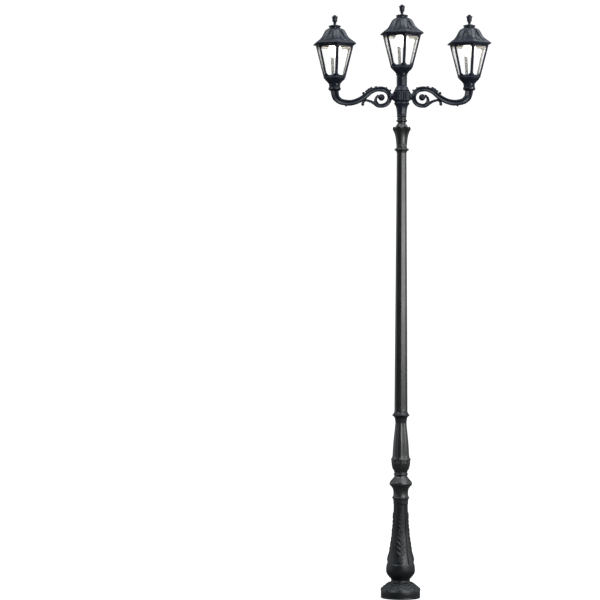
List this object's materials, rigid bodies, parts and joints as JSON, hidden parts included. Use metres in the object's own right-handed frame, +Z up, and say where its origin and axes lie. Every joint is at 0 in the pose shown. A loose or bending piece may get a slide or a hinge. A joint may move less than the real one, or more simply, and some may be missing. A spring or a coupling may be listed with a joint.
{
  "type": "outdoor post light",
  "caption": "Tall outdoor post light: a cast column on a domed foot carries hexagonal glazed lanterns on scroll arms and at its top, with hinged roofs and globe lamps.",
  "frame": {"origin": "middle of the foot, on the ground", "axes": "+Z up along the column, X along the two arms, -Y towards the front, where the service cover is"},
  "size_m": [1.168, 0.2954, 3.91],
  "materials": {
    "coat_head": "fine sand textured powder coat, bluish black satin",
    "coat_shaft": "satin coat, grey green black",
    "coat_base": "satin powder coat, neutral black",
    "steel_core": "galvanised",
    "stainless": "bright stainless",
    "pane_glass": "clear",
    "gasket_rubber": "matte",
    "tray_white": "white enamel",
    "holder_ceramic": "glazed",
    "lamp_glass": "opal, lit",
    "lamp_metal": "bright",
    "contact_brass": "plain",
    "box_plastic": "matte"
  },
  "bodies": {
    "root": {"base_plate": "steel_core", "core_tube": "steel_core", "foot_cover": "coat_base", "base_body": "coat_base", "terminal_box": "box_plastic", "lower_collar": "coat_base", "baluster": "coat_base", "shaft_ring": "coat_base", "shaft": "coat_shaft", "centring_bushes": "steel_core", "capital": "coat_shaft", "head_stem": "coat_head", "hub": "coat_head", "top_stem": "coat_head", "arm_left": "coat_head", "arm_right": "coat_head", "fixing_screws": "stainless", "sleeve_screws": "stainless", "roof_hinge_pins": "stainless", "cup_left": "coat_head", "cage_left": "coat_head", "panes_left": "pane_glass", "gasket_left": "gasket_rubber", "cup_centre": "coat_head", "cage_centre": "coat_head", "panes_centre": "pane_glass", "gasket_centre": "gasket_rubber", "cup_right": "coat_head", "cage_right": "coat_head", "panes_right": "pane_glass", "gasket_right": "gasket_rubber"},
    "cover": {"service_cover": "coat_base", "cover_screws": "stainless"},
    "roof_left": {"roof_left": "coat_head", "cap_left": "coat_head", "finial_left": "coat_head", "roof_screws_left": "stainless", "reflector_left": "tray_white", "lampholder_left": "holder_ceramic"},
    "lamp_lift_left": {"bulb_contact_left": "contact_brass"},
    "lamp_left": {"bulb_cap_left": "lamp_metal", "bulb_globe_left": "lamp_glass"},
    "roof_centre": {"roof_centre": "coat_head", "cap_centre": "coat_head", "finial_centre": "coat_head", "roof_screws_centre": "stainless", "reflector_centre": "tray_white", "lampholder_centre": "holder_ceramic"},
    "lamp_lift_centre": {"bulb_contact_centre": "contact_brass"},
    "lamp_centre": {"bulb_cap_centre": "lamp_metal", "bulb_globe_centre": "lamp_glass"},
    "roof_right": {"roof_right": "coat_head", "cap_right": "coat_head", "finial_right": "coat_head", "roof_screws_right": "stainless", "reflector_right": "tray_white", "lampholder_right": "holder_ceramic"},
    "lamp_lift_right": {"bulb_contact_right": "contact_brass"},
    "lamp_right": {"bulb_cap_right": "lamp_metal", "bulb_globe_right": "lamp_glass"}
  },
  "joints": [
    {"name": "cover_pull", "type": "slide", "parent": "root", "child": "cover", "axis": [0, -1, 0], "range_m": [0, 0.08]},
    {"name": "roof_left_hinge", "type": "hinge", "parent": "root", "child": "roof_left", "pos_m": [-0.52207, 0.09423, 3.638], "axis": [-0.766, -0.6428, 0], "range_deg": [0, 100]},
    {"name": "lamp_left_lift", "type": "slide", "parent": "roof_left", "child": "lamp_lift_left", "axis": [0, 0, -1], "range_m": [0, 0.0182]},
    {"name": "lamp_left_turn", "type": "hinge", "parent": "lamp_lift_left", "child": "lamp_left", "pos_m": [-0.443, 0, 3.6063], "axis": [0, 0, -1], "range_deg": [0, 1800]},
    {"name": "roof_centre_hinge", "type": "hinge", "parent": "root", "child": "roof_centre", "pos_m": [-0.07907, 0.09423, 3.706], "axis": [-0.766, -0.6428, 0], "range_deg": [0, 100]},
    {"name": "lamp_centre_lift", "type": "slide", "parent": "roof_centre", "child": "lamp_lift_centre", "axis": [0, 0, -1], "range_m": [0, 0.0182]},
    {"name": "lamp_centre_turn", "type": "hinge", "parent": "lamp_lift_centre", "child": "lamp_centre", "pos_m": [0, 0, 3.6743], "axis": [0, 0, -1], "range_deg": [0, 1800]},
    {"name": "roof_right_hinge", "type": "hinge", "parent": "root", "child": "roof_right", "pos_m": [0.36393, 0.09423, 3.638], "axis": [-0.766, -0.6428, 0], "range_deg": [0, 100]},
    {"name": "lamp_right_lift", "type": "slide", "parent": "roof_right", "child": "lamp_lift_right", "axis": [0, 0, -1], "range_m": [0, 0.0182]},
    {"name": "lamp_right_turn", "type": "hinge", "parent": "lamp_lift_right", "child": "lamp_right", "pos_m": [0.443, 0, 3.6063], "axis": [0, 0, -1], "range_deg": [0, 1800]}
  ],
  "couplings": [
    {"joint": "lamp_left_lift", "follows": "lamp_left_turn", "m_per_rad": 0.00057757},
    {"joint": "lamp_centre_lift", "follows": "lamp_centre_turn", "m_per_rad": 0.00057757},
    {"joint": "lamp_right_lift", "follows": "lamp_right_turn", "m_per_rad": 0.00057757}
  ]
}
